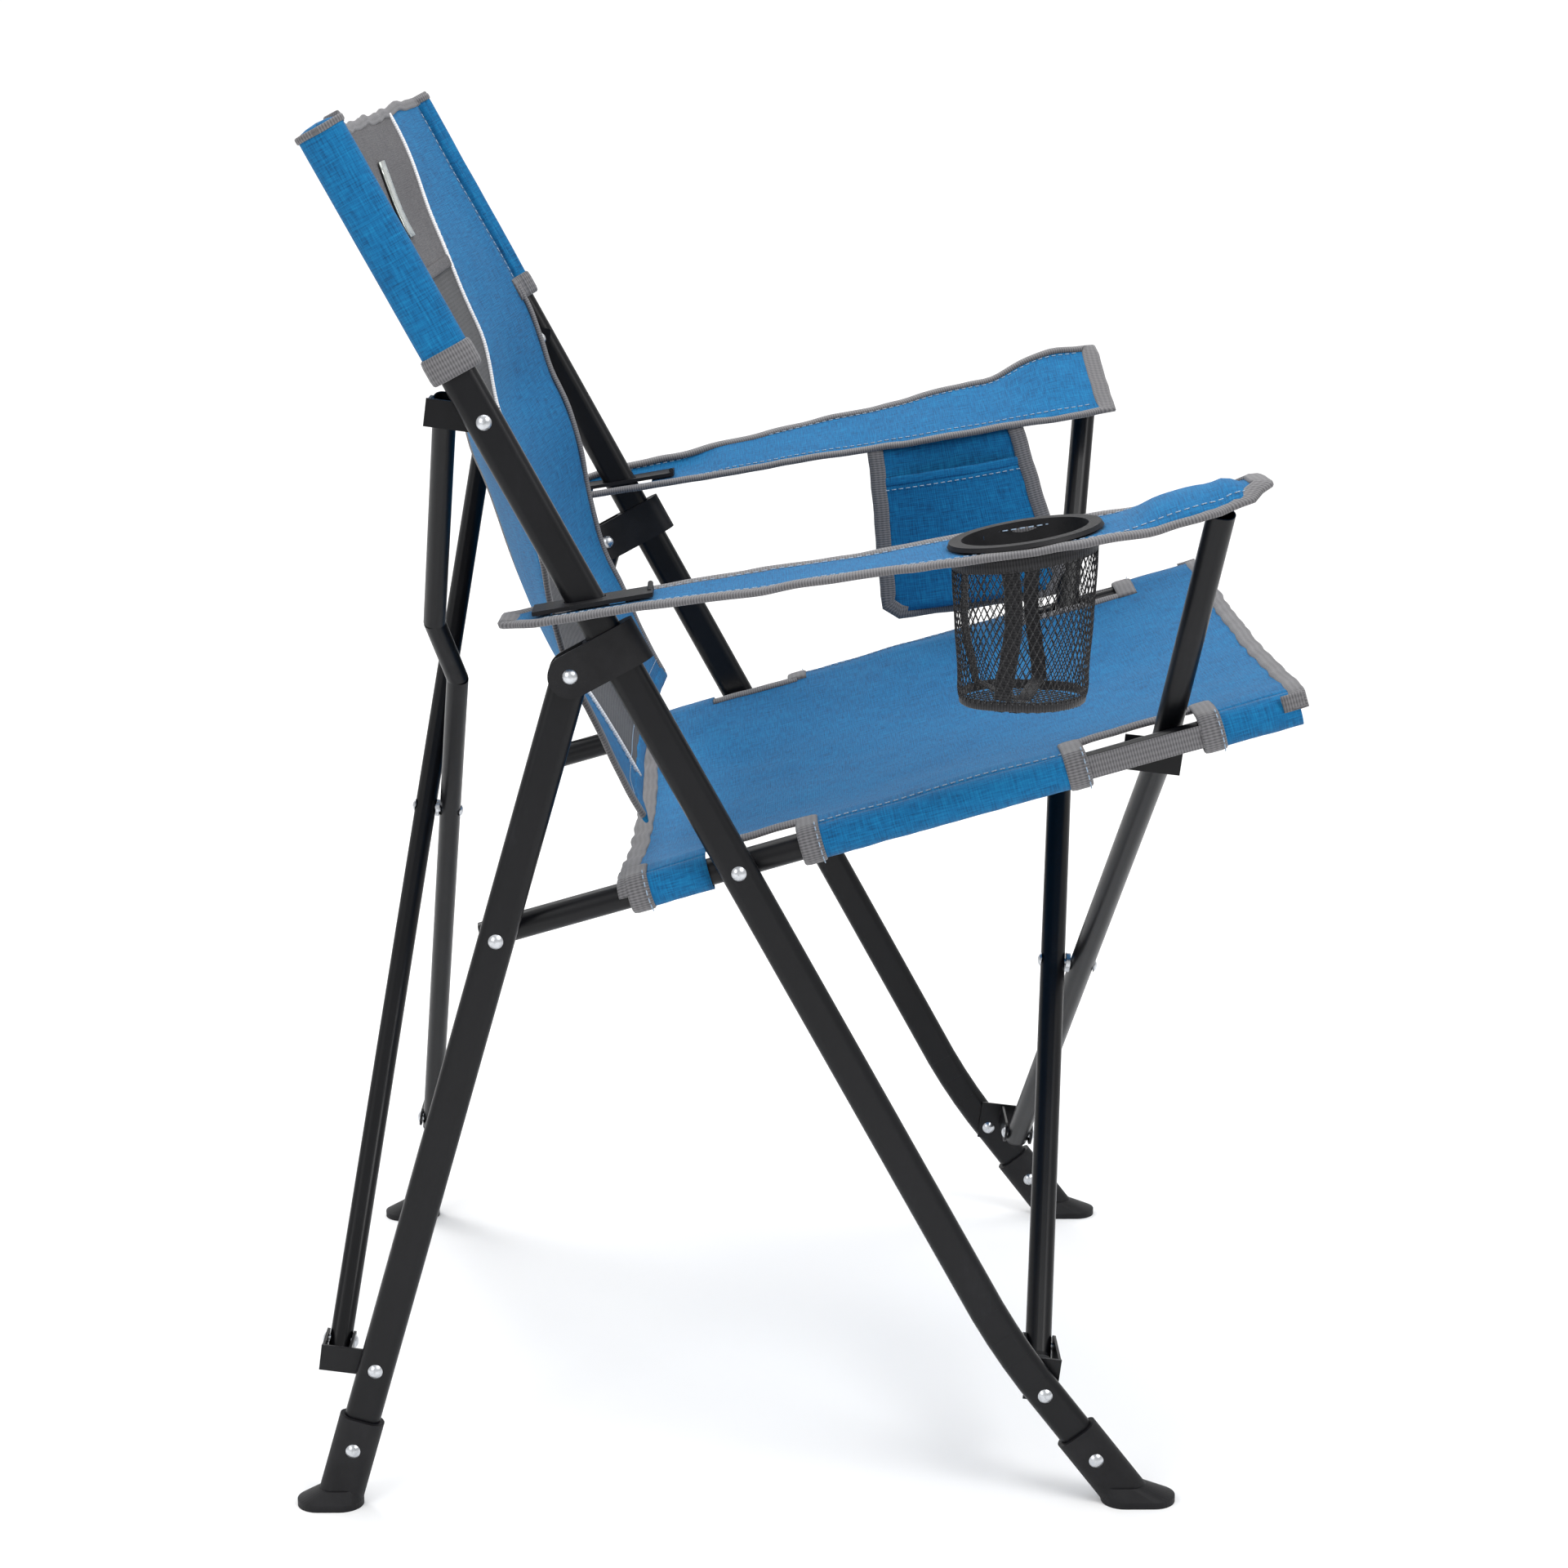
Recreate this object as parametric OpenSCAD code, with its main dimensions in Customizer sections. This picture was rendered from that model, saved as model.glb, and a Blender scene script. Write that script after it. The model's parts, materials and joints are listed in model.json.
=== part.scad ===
// Folding camp chair: two side frames joined by a front and a rear pair of crossed braces.
// +X is the sitter's left, -Y is the front, +Z is up, and the origin is on the floor
// under the middle of the chair. In a side frame, u is the distance forward of the
// seat pivot, z the height and e the distance inboard of the frame's middle plane.

/* [Side frame] */
// Distance between the middle planes of the two side frames
frame_w = 610; // [590:1:620]
// Height of the seat rail pivot above the floor
pivot_z = 492; // [485:1:500]
// Lean of the back post from upright, in degrees
post_lean = 28.5; // [28:0.25:29]
// Length of the back post above the seat pivot
post_top = 590; // [560:5:610]
// Depth of the flat-oval tube of posts and rear legs
oval_d = 27; // [25:0.5:28]
// Thickness of the flat-oval tube of posts and rear legs
oval_t = 14; // [13:0.5:15]
// Wall of every tube
wall = 1.2; // [1:0.1:1.5]

/* [Seat rail] */
// Rise of the seat rail towards the front, in degrees
rail_rise = 16; // [15:0.5:17]
// Diameter of the round seat rail
rail_d = 20; // [18:0.5:20]
// Length of the rail in front of its pivot
rail_front = 412; // [400:1:420]
// Distance from the pivot back to the rear leg rivet
rail_rear = 183; // [180:1:186]
// Distance from the pivot forward to the seat bracket rivet
rail_bracket = 300; // [298:1:302]

/* [Collar and leg] */
// Distance of the collar rivet above the seat pivot, along the post
collar_up = 184.5; // [180:0.5:190]
// Distance of the collar rivet behind the post's middle line
collar_back = 35.5; // [34:0.5:37]
// Distance of the leg bracket rivet below the collar rivet, along the leg
leg_bracket_s = 550; // [540:1:560]

/* [Braces] */
// Depth of a front brace tube, front to back
front_tube_d = 20; // [19:0.5:20]
// Thickness of a front brace tube
front_tube_t = 16; // [14:0.5:16]
// Depth of a rear brace tube, front to back
rear_tube_d = 17; // [16:0.5:17]
// Thickness of a rear brace tube
rear_tube_t = 13; // [11:0.5:13]
// Outward lean of the arm end of a front brace, in degrees
arm_lean = 28; // [25:1:29]
// Height of the arm end above the seat bracket pin
arm_h = 195; // [186:1:198]

/* [Armrests and cup holder] */
// Width of an armrest
arm_w = 96; // [90:1:100]
// Inner diameter of the cup ring
cup_d = 90; // [84:1:91]
// Depth of the cup bag
cup_h = 100; // [90:1:110]

/* [Hidden] */
$fn = 48;
L = -1;
R = 1;
frame_col = "#26272b";
plastic_col = "#1c1c1e";
steel_col = "#b9bcc0";
blue_col = "#1f6fb5";
grey_col = "#55565c";
mid_y = 36.5;               // the seat pivot is this far behind the origin
running = 0.05;             // radial clearance of a pin in its hole
slide_gap = 0.4;            // clearance of the collar round the post
face_gap = 0.5;             // gap between flat parts that turn past each other
plate = 2;                  // thickness of the bracket sheet
pin_r = 3;
bend_low = 9;               // extra lean of the post below its bend, in degrees
bend_s = 419;               // distance of the bend below the seat pivot
bend_seg = 22;              // length of each of the three short runs that make the bend
bend_step = bend_low / 4;
seam = 0.04;                // hairline between the runs of the bend
bend_d = bend_seg * (1 + 2 * cos(bend_step)) / (2 * cos(bend_low / 2));
foot_rivet_s = 46;          // distance of the foot bracket rivet below the bend
shoe_rivet_s = 110;         // distance of the front foot rivet below the bend
rail_e = oval_t / 2 + 5.5 + rail_d / 2;
plate_e = oval_t / 2 + face_gap;
seat_plate_e = rail_e + rail_d / 2 + face_gap;
front_pin_e = 56;           // the front braces cross at mid length, so both ends share it
rear_pin_e = 44;
foot_pin_h = 14;            // foot bracket pin above its rivet, along the brace plane
seat_pin_h = 6;             // seat bracket pin below its rivet, along the brace plane
front_mid = 10;             // middle of the front brace pair, forward of the rivet line
front_off = front_tube_d / 2 + 2;
rear_off = rear_tube_d / 2 + 1.5;
arm_corner = 8;             // corner of a front brace above its seat pin
rear_mid = -22;             // middle of the rear brace pair, forward of the rivet line
post_rivet_top = 370;       // rear brace rivet above the seat pivot, along the post

// Points of a side frame as [u, z]
function turn(p, a) = [p[0] * cos(a) - p[1] * sin(a), p[0] * sin(a) + p[1] * cos(a)];
post_up = [-sin(post_lean), cos(post_lean)];
post_back = [-cos(post_lean), -sin(post_lean)];
pivot = [0, pivot_z];
rail_dir = [cos(rail_rise), sin(rail_rise)];
collar_pt = pivot + collar_up * post_up + collar_back * post_back;
leg_pt = pivot - rail_rear * rail_dir;
seat_pt = pivot + rail_bracket * rail_dir;
bend_pt = pivot - bend_s * post_up;
low_dir = [sin(post_lean + bend_low), -cos(post_lean + bend_low)];
foot_pt = bend_pt + foot_rivet_s * low_dir;
top_pt = pivot + post_rivet_top * post_up;
leg_lean = atan2(collar_pt[0] - leg_pt[0], collar_pt[1] - leg_pt[1]);
leg_dir = [-sin(leg_lean), -cos(leg_lean)];
leg_low_pt = collar_pt + leg_bracket_s * leg_dir;
front_lean = atan2(seat_pt[0] - foot_pt[0], seat_pt[1] - foot_pt[1]);
rear_lean = atan2(top_pt[0] - leg_low_pt[0], top_pt[1] - leg_low_pt[1]);
front_d = norm(seat_pt - foot_pt) - foot_pin_h - seat_pin_h;
front_w = frame_w - 2 * front_pin_e;
front_len = norm([front_d, front_w]);
front_a = atan2(front_w, front_d);
rear_d = norm(top_pt - leg_low_pt);
rear_w = frame_w - 2 * rear_pin_e;
rear_len = norm([rear_d, rear_w]);
rear_a = atan2(rear_w, rear_d);
leg_foot_s = 615;           // rear foot rivet below the collar rivet
arm_rise = 9.4;             // rise of the armrest towards the front, in degrees
plate_s = 224;              // armrest plate above the seat pivot, along the post
plate_pt = pivot + plate_s * post_up;
arm_x = 326;                // middle of an armrest
cup_u = 312;                // cup ring centre in front of the armrest plate

// Place children at a point of side frame s, with z along a direction leaning forward by a
module place(s, p, a, e = 0) {
    translate([s * (frame_w / 2 - e), mid_y - p[0], p[1]]) rotate([a, 0, 0]) children();
}

// Flat-oval section, d long and t thick, with the length along Y
module oval(d, t) {
    square([t, d - t], center = true);
    for (k = [-1, 1]) translate([0, k * (d - t) / 2]) circle(d = t);
}

module oval_ring(d, t, w) {
    difference() {
        oval(d, t);
        oval(d - 2 * w, t - 2 * w);
    }
}

module round_ring(d, w) {
    difference() {
        circle(d = d);
        circle(d = d - 2 * w);
    }
}

// Cross hole along X or Y, centred on the origin
module hole_x(r, l = 80) rotate([0, 90, 0]) cylinder(r = r, h = l, center = true);
module hole_y(r, l = 80) rotate([90, 0, 0]) cylinder(r = r, h = l, center = true);

// Domed rivet head standing on the YZ plane, towards +X
module head_x(r = 5.5, t = 2.6) {
    ball = (r * r + t * t) / (2 * t);
    rotate([0, 90, 0]) rotate_extrude() intersection() {
        translate([0, t - ball]) circle(r = ball, $fn = 96);
        square([r, t]);
    }
}

// Rivet along X from x0 to x1 with a head at each end, or at the x1 end only
module rivet_x(x0, x1, r = pin_r, both = true) {
    translate([x0, 0, 0]) rotate([0, 90, 0]) cylinder(r = r, h = x1 - x0);
    translate([x1, 0, 0]) head_x();
    if (both) translate([x0, 0, 0]) mirror([1, 0, 0]) head_x();
}

module rivet_y(y0, y1, r = pin_r) rotate([0, 0, 90]) rivet_x(y0, y1, r);

// ---- Posts and front feet ----

module post_frame(s, z = 0) place(s, pivot, -post_lean) translate([0, 0, z]) children();
module post_low(s, z = 0) post_frame(s, -bend_s) rotate([-bend_low, 0, 0]) translate([0, 0, z]) children();

function lean_dir(a) = [sin(a), cos(a)];
function post_a(i) = -(post_lean + bend_low) + i * bend_step;
function post_c(i) = i == 0 ? bend_pt + bend_d * low_dir
    : post_c(i - 1) + bend_seg * lean_dir(post_a(i));

// One straight run of the post, mitred against its neighbours; run 0 is the lowest
module post_run(s, i) {
    below = i == 0 ? shoe_rivet_s + 18 - bend_d : 12;
    above = i == 0 ? 12 : i == 4 ? post_top + bend_s - bend_d : bend_seg + 12;
    difference() {
        place(s, post_c(max(i - 1, 0)), post_a(i)) translate([0, 0, -below])
            linear_extrude(below + above) oval_ring(oval_d, oval_t, wall);
        if (i > 0) place(s, post_c(i - 1), post_a(i) - bend_step / 2)
            translate([-20, -30, seam - 30]) cube([40, 60, 30]);
        if (i < 4) place(s, post_c(i), post_a(i) + bend_step / 2)
            translate([-20, -30, 0]) cube([40, 60, 30]);
    }
}

module post(s) {
    color(frame_col) difference() {
        for (i = [0:4]) post_run(s, i);
        post_frame(s) hole_x(pin_r);
        post_frame(s, post_rivet_top) hole_x(pin_r);
        post_low(s, -foot_rivet_s) hole_x(pin_r);
        post_low(s, -shoe_rivet_s) hole_x(pin_r);
    }
}

// Socket of a moulded foot round the tube
module foot(reach) {
    linear_extrude(reach) oval(oval_d + 7, oval_t + 7);
}

module shoe(s, u, len, wid, toe) {
    hull() {
        translate([s * frame_w / 2, mid_y - u, 0]) linear_extrude(5) scale_oval(len, wid);
        translate([s * frame_w / 2, mid_y - u, 0]) linear_extrude(1) scale_oval(len - 4, wid - 4);
        translate([s * frame_w / 2, mid_y - u + toe, 5]) linear_extrude(9) scale_oval(len * 0.62, wid * 0.68);
    }
}

module scale_oval(len, wid) oval(len, wid, $fn = 32);

foot_floor = (bend_pt[1] - 5) / cos(post_lean + bend_low);   // floor below the bend, along the post
front_shoe_u = bend_pt[0] + foot_floor * sin(post_lean + bend_low) + 9;

module front_foot(s) {
    color(plastic_col) difference() {
        union() {
            intersection() {
                post_low(s, -foot_floor - 20) foot(foot_floor + 20 - shoe_rivet_s + 24);
                translate([s * frame_w / 2 - 40, -400, 2]) cube([80, 800, 200]);
            }
            shoe(s, front_shoe_u, 56, 34, 12);
        }
        post_low(s, -shoe_rivet_s - 18.5) linear_extrude(60) oval(oval_d + 0.2, oval_t + 0.2);
        post_low(s, -shoe_rivet_s) hole_x(pin_r + 0.02);
    }
}

module post_rivets(s) {
    out = oval_t / 2;
    color(steel_col) {
        post_frame(s) for (m = [s < 0 ? 0 : 1]) mirror([m, 0, 0])
            rivet_x(-out, rail_e + rail_d / 2 + 0.3);
        post_frame(s, post_rivet_top) for (m = [s < 0 ? 0 : 1]) mirror([m, 0, 0])
            rivet_x(-out, plate_e + plate + 0.1);
        post_low(s, -foot_rivet_s) for (m = [s < 0 ? 0 : 1]) mirror([m, 0, 0])
            rivet_x(-out, plate_e + plate + 0.1);
        post_low(s, -shoe_rivet_s) rivet_x(-out - 3.5, out + 3.5);
    }
}

// ---- Rear legs and rear feet ----

module leg_frame(s, z = 0) place(s, collar_pt, leg_lean) translate([0, 0, z]) children();

module rear_leg(s) {
    color(frame_col) difference() {
        leg_frame(s, -leg_foot_s - 18) linear_extrude(leg_foot_s + 18 + 8)
            oval_ring(oval_d, oval_t, wall);
        leg_frame(s) hole_x(pin_r + running);
        for (d = [norm(collar_pt - leg_pt), leg_bracket_s, leg_foot_s])
            leg_frame(s, -d) hole_x(pin_r);
    }
}

leg_floor = (collar_pt[1] - 5) / cos(leg_lean);
rear_shoe_u = collar_pt[0] - leg_floor * sin(leg_lean) - 7;

module rear_foot(s) {
    color(plastic_col) difference() {
        union() {
            intersection() {
                leg_frame(s, -leg_floor - 20) foot(leg_floor + 20 - leg_foot_s + 24);
                translate([s * frame_w / 2 - 40, -400, 2]) cube([80, 800, 200]);
            }
            shoe(s, rear_shoe_u, 50, 34, -7);
        }
        leg_frame(s, -leg_foot_s - 18.5) linear_extrude(80) oval(oval_d + 0.2, oval_t + 0.2);
        leg_frame(s, -leg_foot_s) hole_x(pin_r + 0.02);
    }
}

module leg_rivets(s) {
    out = oval_t / 2;
    color(steel_col) {
        for (d = [norm(collar_pt - leg_pt), leg_bracket_s]) leg_frame(s, -d)
            mirror([s < 0 ? 1 : 0, 0, 0]) rivet_x(-out, out, pin_r, false);
        leg_frame(s, -leg_foot_s) rivet_x(-out - 3.5, out + 3.5);
    }
}

// ---- Sliding collars ----

collar_h = 32;
collar_nose = 6;            // extra length of the band ahead of the post

module collar(s) {
    ear = 2.5;
    in = oval_t / 2 + slide_gap;
    color(plastic_col) difference() {
        union() {
            post_frame(s, collar_up - collar_h / 2) translate([0, -collar_nose / 2, 0])
                linear_extrude(collar_h)
                oval(oval_d + 2 * slide_gap + 6 + collar_nose, oval_t + 2 * slide_gap + 2 * ear);
            for (k = [-1, 1]) post_frame(s, collar_up) translate([k * (in + ear / 2), 0, 0])
                rotate([0, 90, 0]) linear_extrude(ear, center = true) {
                    translate([0, collar_back]) circle(r = collar_h / 2);
                    translate([-collar_h / 2, 8]) square([collar_h, collar_back - 8]);
                }
        }
        post_frame(s, collar_up - collar_h / 2 - 1) linear_extrude(collar_h + 2)
            oval(oval_d + 2 * slide_gap, oval_t + 2 * slide_gap);
        post_frame(s, collar_up) translate([0, collar_back, 0]) hole_x(pin_r);
    }
}

module collar_rivet(s) {
    out = oval_t / 2 + slide_gap + 2.5;
    color(steel_col) post_frame(s, collar_up) translate([0, collar_back, 0]) rivet_x(-out, out);
}

// ---- Seat rails ----

module rail_frame(s, z = 0) place(s, pivot, 90 - rail_rise, rail_e) translate([0, 0, z]) children();

module seat_rail(s) {
    color(frame_col) difference() {
        rail_frame(s, -rail_rear - 13) linear_extrude(rail_rear + 13 + rail_front)
            round_ring(rail_d, wall);
        rail_frame(s) hole_x(pin_r + running);
        rail_frame(s, -rail_rear) hole_x(pin_r);
        rail_frame(s, rail_bracket) hole_x(pin_r);
    }
}

// The spacers at the pivot and at the leg, with the inner half of each split rivet
module rail_spacers(s) {
    r = rail_d / 2;
    color(plastic_col) for (z = [0, -rail_rear]) rail_frame(s, z) mirror([s < 0 ? 1 : 0, 0, 0])
        difference() {
            translate([r - 2, 0, 0]) rotate([0, 90, 0]) cylinder(r = 8, h = rail_e - oval_t / 2 - r + 1.7);
            hole_x(pin_r + running);
            cylinder(r = r, h = 30, center = true);
        }
    color(steel_col) for (z = [-rail_rear, rail_bracket]) rail_frame(s, z)
        mirror([s < 0 ? 0 : 1, 0, 0]) translate([0, 0, 0]) rail_stub(z);
}

module rail_stub(z) {
    r = rail_d / 2;
    inner = z < 0;
    translate([-r + 0.4, 0, 0]) rotate([0, 90, 0]) cylinder(r = pin_r, h = 2 * r - 0.8);
    translate([inner ? r : -r, 0, 0]) mirror([inner ? 0 : 1, 0, 0]) head_x(5.5, 2.2);
}

// ---- Front braces: z along the brace plane, y towards the back, x across ----

// Plane frame of the front brace whose arm is on side s, at the foot bracket rivet height
function front_n(s) = front_mid - s * front_off;
module front_plane(s, z = 0) {
    translate([0, mid_y - foot_pt[0], foot_pt[1]]) rotate([front_lean, 0, 0])
        translate([0, -front_n(s), z]) children();
}

module front_tube(s) {
    mitre = s * (front_a + arm_lean) / 2;
    front_plane(s, foot_pin_h + front_d) translate([s * (frame_w / 2 - front_pin_e), 0, 0])
        translate([s * arm_corner * sin(front_a), 0, arm_corner * cos(front_a)]) {
        difference() {
            rotate([0, s * front_a, 0]) translate([0, 0, -front_len - 8 - arm_corner])
                linear_extrude(front_len + 28 + arm_corner)
                oval_ring(front_tube_d, front_tube_t, wall);
            rotate([0, mitre, 0]) translate([-40, -40, 0]) cube(80);
        }
        difference() {
            rotate([0, s * arm_lean, 0]) translate([0, 0, -20])
                linear_extrude(20 + (arm_h - arm_corner * cos(front_a)) / cos(arm_lean))
                oval_ring(front_tube_d, front_tube_t, wall);
            rotate([0, mitre, 0]) translate([-40, -40, -80]) cube(80);
        }
    }
}

cross_s = front_len / 2;    // cross pivot from the seat pin
cross_h = foot_pin_h + front_d - cross_s * cos(front_a);

module front_brace(s) {
    color(frame_col) difference() {
        front_tube(s);
        front_plane(s, foot_pin_h + front_d) translate([s * (frame_w / 2 - front_pin_e), 0, 0])
            hole_y(pin_r + running);
        front_plane(s, foot_pin_h) translate([-s * (frame_w / 2 - front_pin_e), 0, 0])
            hole_y(pin_r + running);
        front_plane(s, cross_h) hole_y(s < 0 ? pin_r + running : pin_r);
    }
}

module front_cross_pin() {
    half = front_off + front_tube_d / 2;
    color(steel_col) translate([0, mid_y - foot_pt[0], foot_pt[1]]) rotate([front_lean, 0, 0])
        translate([0, -front_mid, cross_h]) {
            rivet_y(-half - 0.2, half);
            rotate([90, 0, 0]) difference() {
                cylinder(r = 8, h = 2 * front_off - front_tube_d - 0.6, center = true);
                cylinder(r = pin_r - 0.5, h = 10, center = true);
            }
        }
}

module front_cap(s) {
    color(plastic_col) front_plane(s, foot_pin_h) translate([-s * (frame_w / 2 - front_pin_e), 0, 0])
        rotate([0, s * front_a, 0]) {
            translate([0, 0, -10.5]) linear_extrude(2.4) oval(front_tube_d, front_tube_t);
            translate([0, 0, -8.1]) linear_extrude(4) oval(front_tube_d - 2.6, front_tube_t - 2.6);
        }
}

// ---- Brackets: sheet plates with two ears, in the frame of a brace plane ----

// Base plate against a tube at e0 with its rivet at the origin, ears round a pin at e1
module bracket(s, e0, e1, n, h, gap, reach) {
    lo = min(h, 0) - 10;
    hi = max(h, 0) + 10;
    edge = gap / 2 + face_gap;
    back = min(-n - edge - plate, -9);
    fore = max(-n + edge + plate, 9);
    mirror([s < 0 ? 0 : 1, 0, 0]) translate([-frame_w / 2, 0, 0]) difference() {
        union() {
            translate([e0, back, lo]) cube([plate, fore - back, hi - lo]);
            for (k = [-1, 1]) translate([e0, -n + k * (edge + plate / 2) - plate / 2, h - reach])
                cube([e1 - e0, plate, 2 * reach]);
            for (k = [-1, 1]) translate([e1, -n + k * (edge + plate / 2), h]) rotate([90, 0, 0])
                cylinder(r = reach, h = plate, center = true);
        }
        hole_x(pin_r + running, 200);
        translate([e1, -n, h]) hole_y(pin_r);
    }
}

module bracket_pin(s, e1, n, h, gap) {
    edge = gap / 2 + face_gap + plate;
    mirror([s < 0 ? 0 : 1, 0, 0]) translate([-frame_w / 2 + e1, -n, h]) rivet_y(-edge, edge);
}

module front_rivet_frame(p, z = 0) translate([0, mid_y - p[0], p[1]]) rotate([front_lean, 0, 0]) children();
module rear_rivet_frame(p) translate([0, mid_y - p[0], p[1]]) rotate([rear_lean, 0, 0]) children();

// The brace that ends at the foot of side s has its arm on the other side
module foot_bracket(s) color(frame_col) front_rivet_frame(foot_pt)
    bracket(s, plate_e, front_pin_e, front_n(-s), foot_pin_h, front_tube_d, 9);
module foot_pin(s) color(steel_col) front_rivet_frame(foot_pt)
    bracket_pin(s, front_pin_e, front_n(-s), foot_pin_h, front_tube_d);

module seat_bracket(s) color(frame_col) front_rivet_frame(seat_pt)
    bracket(s, seat_plate_e, front_pin_e, front_n(s), -seat_pin_h, front_tube_d, 8);
module seat_pin(s) color(steel_col) front_rivet_frame(seat_pt) {
    bracket_pin(s, front_pin_e, front_n(s), -seat_pin_h, front_tube_d);
    split_head(s, seat_plate_e);
}

// Inner half of a split rivet, on a bracket
module split_head(s, e0, head = true) {
    mirror([s < 0 ? 0 : 1, 0, 0]) translate([-frame_w / 2 + e0, 0, 0]) {
        rotate([0, 90, 0]) cylinder(r = pin_r, h = plate);
        if (head) translate([plate, 0, 0]) head_x(5, 2);
    }
}

// ---- Rear braces ----

// The left brace lies in front of the right one at the crossing
rear_front_n = rear_mid + rear_off;
rear_back_n = rear_mid - rear_off;
jog_h = 0.68 * rear_d;      // height at which the left brace steps back
jog_l = 60;

module rear_plane(n, z = 0) rear_rivet_frame(leg_low_pt) translate([0, -n, z]) children();

module rear_tube_run(s, n, from, to) {
    rear_plane(n) translate([-s * (frame_w / 2 - rear_pin_e), 0, 0]) rotate([0, s * rear_a, 0])
        translate([0, 0, from]) linear_extrude(to - from) oval_ring(rear_tube_d, rear_tube_t, wall);
}

module rear_brace(s) {
    cross = rear_len / 2;
    j0 = jog_h / cos(rear_a);
    step = atan2(2 * rear_off, jog_l);
    color(frame_col) difference() {
        union() {
            if (s > 0) rear_tube_run(s, rear_back_n, -10, rear_len + 10);
            if (s < 0) {
                rear_tube_run(s, rear_front_n, -10, j0);
                rear_tube_run(s, rear_back_n, j0 + jog_l, rear_len + 10);
                rear_plane(rear_front_n) translate([-s * (frame_w / 2 - rear_pin_e), 0, 0])
                    rotate([0, s * rear_a, 0]) translate([0, 0, j0]) rotate([-step, 0, 0])
                    linear_extrude(jog_l / cos(step)) oval_ring(rear_tube_d, rear_tube_t, wall);
            }
        }
        rear_plane(0, rear_d) translate([s * (frame_w / 2 - rear_pin_e), 0, 0]) hole_y(pin_r + running, 140);
        rear_plane(0) translate([-s * (frame_w / 2 - rear_pin_e), 0, 0]) hole_y(pin_r + running, 140);
        rear_plane(0, rear_d / 2) hole_y(pin_r, 140);
    }
}

module rear_cross_pin() {
    y1 = rear_off + rear_tube_d / 2;
    color(steel_col) rear_plane(rear_mid, rear_d / 2) {
        translate([0, -y1, 0]) rotate([-90, 0, 0]) cylinder(r = pin_r, h = rear_tube_d + 0.5);
        translate([0, -y1, 0]) rotate([0, 0, -90]) head_x(5, 2.2);
        translate([0, -1.5, 0]) rotate([-90, 0, 0]) cylinder(r = 7, h = 2.7);
    }
}

module rear_cross_head() {
    y1 = rear_off + rear_tube_d / 2;
    color(steel_col) rear_plane(rear_mid, rear_d / 2) {
        translate([0, y1 - rear_tube_d, 0]) rotate([-90, 0, 0]) cylinder(r = pin_r, h = rear_tube_d);
        translate([0, y1, 0]) rotate([0, 0, 90]) head_x(5, 2.2);
    }
}

module rear_cap(s) {
    n = s < 0 ? rear_front_n : rear_back_n;
    color(plastic_col) rear_plane(n) translate([-s * (frame_w / 2 - rear_pin_e), 0, 0])
        rotate([0, s * rear_a, 0]) {
            translate([0, 0, -13]) linear_extrude(2.9) oval(rear_tube_d, rear_tube_t);
            translate([0, 0, -10.1]) linear_extrude(4) oval(rear_tube_d - 2.6, rear_tube_t - 2.6);
        }
}

module top_bracket(s) color(frame_col) rear_rivet_frame(top_pt)
    bracket(s, plate_e, rear_pin_e, rear_back_n, 0, rear_tube_d, 8);
module top_pin(s) color(steel_col) rear_rivet_frame(top_pt)
    bracket_pin(s, rear_pin_e, rear_back_n, 0, rear_tube_d);

function leg_n(s) = s < 0 ? rear_back_n : rear_front_n;
module leg_bracket(s) color(frame_col) rear_rivet_frame(leg_low_pt)
    bracket(s, plate_e, rear_pin_e, leg_n(s), 0, rear_tube_d, 8);
module leg_pin(s) color(steel_col) rear_rivet_frame(leg_low_pt) {
    bracket_pin(s, rear_pin_e, leg_n(s), 0, rear_tube_d);
    split_head(s, plate_e, s < 0);
}

// ---- Armrests: z up from the strap, y towards the back, from the post crossing ----

module arm_frame(s, x = 0) {
    translate([s * x, mid_y - plate_pt[0], plate_pt[1]]) rotate([-arm_rise, 0, 0]) children();
}

function arm_front(s) = s < 0 ? 476 : 434;

hinge_d = 46;               // rolled edge that the armrest folds about, ahead of the post
hinge_z = 3.4;
hinge_tilt = 10;            // swings the folded armrest outboard of the seat rail, in degrees

module arm_plate(s) {
    color(plastic_col) difference() {
        union() {
            arm_frame(s, frame_w / 2) translate([s < 0 ? -21 : -10.5, -48, 0]) cube([31.5, 86, 3]);
            arm_frame(s, frame_w / 2) translate([0, -hinge_d, hinge_z]) rotate([arm_rise, 0, 0])
                rotate([0, s * hinge_tilt, 0]) hole_x(2, 18);
        }
        post_frame(s, plate_s - 40) linear_extrude(80) oval(oval_d + 2, oval_t + 2);
    }
}

// Side view of an armrest: flat over the cup or pocket, raised over the tube at the front
module arm_side(s) {
    f = arm_front(s);
    r0 = s < 0 ? 400 : 368;
    up = s < 0 ? 14 : 20;
    polygon([[50, -0.5], [50, -4.5], [-r0, -4.5], [-r0 - 28, up - 4.5], [-f, up - 4.5],
        [-f, up - 0.5], [-r0 - 27, up - 0.5], [1 - r0, -0.5]]);
}

module armrest(s) {
    color(blue_col) difference() {
        arm_frame(s, arm_x) rotate([90, 0, 90]) linear_extrude(arm_w, center = true) arm_side(s);
        arm_frame(s, frame_w / 2) translate([-12, -30, -10]) cube([24, 60, 20]);
        if (s < 0) arm_frame(s, arm_x) translate([0, -cup_u, -20]) cylinder(d = cup_d + 5, h = 40);
    }
}

module cup_ring() {
    r = cup_d / 2;
    color(plastic_col) arm_frame(L, arm_x) translate([0, -cup_u, 0]) rotate_extrude($fn = 96)
        polygon([[r, 3], [r, -12], [r + 2, -12], [r + 2, 0], [r + 10.5, 0], [r + 9, 3]]);
}

cup_pt = [plate_pt[0] + cup_u * cos(arm_rise), plate_pt[1] + cup_u * sin(arm_rise)];

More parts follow.
